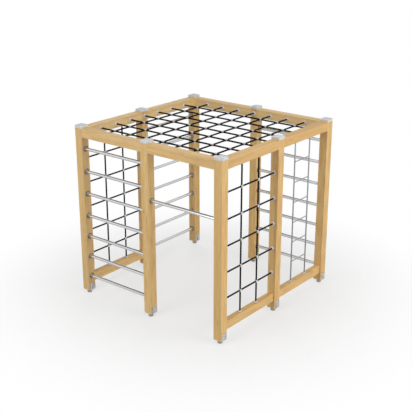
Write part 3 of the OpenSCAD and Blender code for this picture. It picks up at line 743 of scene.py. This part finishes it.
top_crossings = [((x, y, TOP_NET_HEIGHT), Z, X) for x in TOP_X for y in TOP_Y]
piece("clamp_top_connectors", clamps(top_crossings), connector_grey, ["top_connectors"])
for side, name in ((1, "right_connectors"), (-1, "left_connectors")):
    crossings = [((side * HALF_WIDTH, -y, z), (side, 0, 0), Y) for y in SIDE_THIRDS for z in SIDE_HEIGHTS]
    piece("clamp_" + name, clamps(crossings), connector_grey, [name])


# Rung and rod fittings

FLANGE_SIDES = 40
# A flange's weld bead, as steps out from its collar and up from its plate
FLANGE_BEAD = [(0.0034, 0.0), (0.0022, 0.0006), (0.0009, 0.0020), (-0.0004, 0.0034)]


def plate_shape(disc, collar, bore):
    """A flange's round plate with a rounded rim and a weld bead up to its collar."""
    t, foot, rim_round = FLANGE_THICKNESS, 0.0006, 0.0014
    return lathe(
        [(bore, 0.0), (disc - foot, 0.0), (disc, foot)]
        + arc(disc - rim_round, t - rim_round, rim_round, 0, 90)
        + [(collar + out, t + up) for out, up in FLANGE_BEAD]
        + [(bore, t + FLANGE_BEAD[-1][1])],
        FLANGE_SIDES,
        ring=True,
    )


def collar_shape(collar, bore):
    """A flange's collar with a rounded mouth, from inside its plate."""
    low, top, mouth_round, bevel = FLANGE_THICKNESS - 0.0010, COLLAR_LENGTH, 0.0012, 0.0005
    return lathe(
        [(bore + FIT_GAP, low), (collar - 0.0001, low)]
        + arc(collar - mouth_round, top - mouth_round, mouth_round, 0, 90)
        + [(bore + bevel, top), (bore + FIT_GAP, top - bevel)],
        FLANGE_SIDES,
        ring=True,
    )


rung_spans = [((-INNER_X, -HALF_DEPTH, z), (-POST_FACE, -HALF_DEPTH, z)) for z in RUNG_HEIGHTS]
rung_spans += [((INNER_X, HALF_DEPTH, z), (POST_FACE, HALF_DEPTH, z)) for z in RUNG_HEIGHTS]
rung_spans += [((-HALF_WIDTH, INNER_Y, z), (-HALF_WIDTH, POST_FACE, z)) for z in RUNG_HEIGHTS]
rung_spans += [((POST_FACE, -HALF_DEPTH, BAR_HEIGHT), (INNER_X, -HALF_DEPTH, BAR_HEIGHT))]
rod_spans = [((HALF_WIDTH, y, RAIL_TOP), (HALF_WIDTH, y, BEAM_BOTTOM)) for y in SIDE_THIRDS]
rung_plate = plate_shape(FLANGE_RADIUS, COLLAR_RADIUS, RUNG_RADIUS + FIT_GAP / 2)
rung_collar = collar_shape(COLLAR_RADIUS, RUNG_RADIUS)
rod_plate = plate_shape(ROD_FLANGE_RADIUS, ROD_COLLAR_RADIUS, ROD_RADIUS + FIT_GAP / 2)
rod_collar = collar_shape(ROD_COLLAR_RADIUS, ROD_RADIUS)
shapes = [placed(rung_plate, p, way) for p, way in seats(rung_spans)]
piece("rung_flange_plates", shapes, flange_steel, ["rung_flanges"])
shapes = [placed(rung_collar, p, way) for p, way in seats(rung_spans)]
piece("rung_flange_collars", shapes, collar_steel)
shapes = [placed(shape, p, way) for p, way in seats(rod_spans) for shape in (rod_plate, rod_collar)]
piece("welded_rod_flanges", shapes, base_steel, ["rod_flanges"])


def screw_shape():
    """A pan-head wood screw with a socket in its head and a tapered tip."""
    seat, head, taper = FLANGE_THICKNESS, SCREW_HEAD_RADIUS, 0.006
    side_height, head_round = 0.0012, 0.0017
    socket = [(0.0017, SCREW_DOME), (0.0015, 0.0012), (0.0002, 0.0009)]
    return lathe(
        [(0.0003, seat - SCREW_LENGTH), (SCREW_RADIUS, seat - SCREW_LENGTH + taper), (SCREW_RADIUS, seat)]
        + [(head - 0.0002, seat), (head, seat + 0.0004), (head, seat + side_height)]
        + arc(head - head_round, seat + side_height, head_round, 20, 90)
        + [(r, seat + up) for r, up in socket],
        12,
    )


def screw_places(spans, disc, collar):
    """Two screws on each flange: above and below on an upright face, before and behind on a level one."""
    found = []
    for p, way in seats(spans):
        across = np.array(Z if way[2] == 0 else Y, float) * (disc + collar) / 2
        found += [(np.array(p, float) + side * across, way) for side in (-1, 1)]
    return found


screw = screw_shape()
places = screw_places(rung_spans, FLANGE_RADIUS, COLLAR_RADIUS)
places += screw_places(rod_spans, ROD_FLANGE_RADIUS, ROD_COLLAR_RADIUS)
shapes = [placed(screw, p, way) for p, way in places]
piece("pan_head_screws", shapes, fastener_steel, ["flange_screws"])

# The weld bead round a rod ladder's rung: its section, its sides, and its ripples' number and depth
LADDER_BEAD = [
    (0.0056, -0.002), (0.0082, -0.0015), (0.0084, 0.0006), (0.0076, 0.0020), (0.0064, 0.0030), (0.0056, 0.0032),
]
BEAD_SIDES, BEAD_RIPPLES, BEAD_DEPTH = 24, 6, 0.05


def weld_shape():
    """A rippled weld bead round a rung's end."""
    ripple = 1 + BEAD_DEPTH * np.sin(np.arange(BEAD_SIDES) * 2 * math.pi * BEAD_RIPPLES / BEAD_SIDES)[:, None]
    return skin([level_ring(circle(BEAD_SIDES) * ripple * r, z) for r, z in LADDER_BEAD])


weld = weld_shape()
shapes = []
for z in ROD_RUNG_HEIGHTS:
    shapes.append(placed(weld, (HALF_WIDTH, SIDE_THIRDS[0] + ROD_RADIUS, z), (0, 1, 0)))
    shapes.append(placed(weld, (HALF_WIDTH, SIDE_THIRDS[1] - ROD_RADIUS, z), (0, -1, 0)))
piece("ladder_welds", shapes, rod_steel["Y"])


# Caps, bolts and nuts

def cap_shapes():
    """A moulded post cap: a rounded rim, a slightly crowned top and a spigot below."""
    top, draft, least_corner = CAP_THICKNESS, 0.0004, 0.002
    levels = [(0.0, 0.0012), (0.0006, 0.0003), (0.0016, 0.0), (top - 0.0105, draft)]
    for a in np.radians([15, 35, 55, 75]):
        levels.append((top - 0.0075 + 0.0063 * math.sin(a), draft + 0.0072 * (1 - math.cos(a))))
    levels += [(top - 0.0009, 0.0095), (top - 0.0004, 0.018), (top - 0.0001, 0.034), (top, 0.048)]
    rings = []
    for z, inset in levels:
        rings.append(level_ring(rounded_square(CAP_HALF - inset, max(CAP_CORNER - inset * 0.6, least_corner)), z))
    r, tip, overlap = SPIGOT_RADIUS, 0.001, 0.002
    spigot = [(r - tip, -SPIGOT_LENGTH), (r, -SPIGOT_LENGTH + 2 * tip), (r, overlap)]
    return [skin(rings), lathe(spigot, 24)]


cap = cap_shapes()
cap_nodes = sorted(n for n in nodes if n.startswith("cap_"))
shapes = [placed(shape, (x, y, FRAME_TOP), Z, X) for x, y in POSTS for shape in cap]
piece("moulded_caps", shapes, cap_plastic, cap_nodes, sharp=CAP_SHARP)


def bolt_shape():
    """A coach bolt: a smooth domed head, a shank and a chamfered end."""
    end, bevel, rim = -(2 * CHEEK_FACE + NUT_HEIGHT + BOLT_END), 0.0012, 0.0012
    profile = [(BOLT_RADIUS - bevel, end), (BOLT_RADIUS, end + bevel), (BOLT_RADIUS, 0.0)]
    profile.append((BOLT_HEAD_RADIUS - 0.0004, 0.0))
    for a in np.radians([0, 15, 30, 45, 60, 75, 87]):
        profile.append((BOLT_HEAD_RADIUS * math.cos(a), rim + (BOLT_DOME - rim) * math.sin(a)))
    return lathe(profile, 32)


def nut_shape():
    """A hexagon nut with chamfered corners, open round its bolt."""
    sides, bevel, top = 48, 0.0008, NUT_HEIGHT
    turn = circle(sides)
    angle = 2 * math.pi * np.arange(sides) / sides
    flats = NUT_FLATS / np.cos((angle + math.pi / 6) % (math.pi / 3) - math.pi / 6)
    bore = BOLT_RADIUS + FIT_GAP
    levels = [(0.0, 0.0096), (bevel, 0.0104), (0.0014, 0.02)]
    levels += [(top - 0.0014, 0.02), (top - bevel, 0.0104), (top, 0.0094)]
    rings = [level_ring(turn * np.minimum(flats, limit)[:, None], z) for z, limit in levels]
    rings += [level_ring(turn * (bore + bevel), top), level_ring(turn * bore, top - bevel)]
    return skin(rings)


bolt, nut = bolt_shape(), nut_shape()
bolts, nuts = [], []
for x, y in POSTS:
    out = np.array((-1.0 if x < 0 else 1.0, 0.0, 0.0))
    for z in BOLT_HEIGHTS:
        bolts.append(placed(bolt, np.array((x, y, z)) + out * CHEEK_FACE, out))
        nuts.append(placed(nut, np.array((x, y, z)) - out * CHEEK_FACE, -out))
piece("coach_bolts", bolts, fastener_steel, ["shoe_bolts"])
piece("hex_nuts", nuts, fastener_steel, ["shoe_nuts"], sharp=NUT_SHARP)


# Materials of the CAD nodes that stay

SEED_START, SEED_STEP, PEG_SEED = 11, 7, 5
# The pegs share one texture, too wide to show worn edges
PEG_CENTRE, PEG_HALF = (0, 0, 1), (9.0, 9.0)


def dress(name, material):
    """Gives a CAD node its material."""
    nodes[name].data.materials.clear()
    nodes[name].data.materials.append(material)


seed = SEED_START
for name in sorted(nodes):
    low_corner, high_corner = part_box(name)
    centre = (low_corner + high_corner) / 2
    family, _, rest = name.partition("_")
    seed += SEED_STEP
    if family == "post":
        tone, painted_shade = BOARD_TONES_AND_PAINTED_LIGHT.get(name, PLAIN_BOARD), PAINTED_SHADE_SIDES.get(name, 0.0)
        dress(name, timber("timber_" + name, "Z", centre, (POST_FACE, POST_FACE), seed, tone, painted_shade))
    elif family in ("beam", "rail"):
        axis = "X" if rest.startswith(("front", "back")) else "Y"
        reach = (high_corner - low_corner) / 2
        half = (reach.y if axis == "X" else reach.x, reach.z)
        dress(name, timber("timber_" + name, axis, centre, half, seed, BOARD_TONES_AND_PAINTED_LIGHT.get(name, PLAIN_BOARD)))
    elif family == "shoe" and rest not in ("bolts", "nuts"):
        dress(name, galvanised_steel)
dress("tenon_pegs", timber("timber_pegs", "X", PEG_CENTRE, PEG_HALF, PEG_SEED))
for name in ("rungs_front", "rungs_back", "bar_front"):
    dress(name, tube_steel["X"])
dress("rungs_left", tube_steel["Y"])
dress("ladder_rods", rod_steel["Z"])
dress("ladder_rungs", rod_steel["Y"])
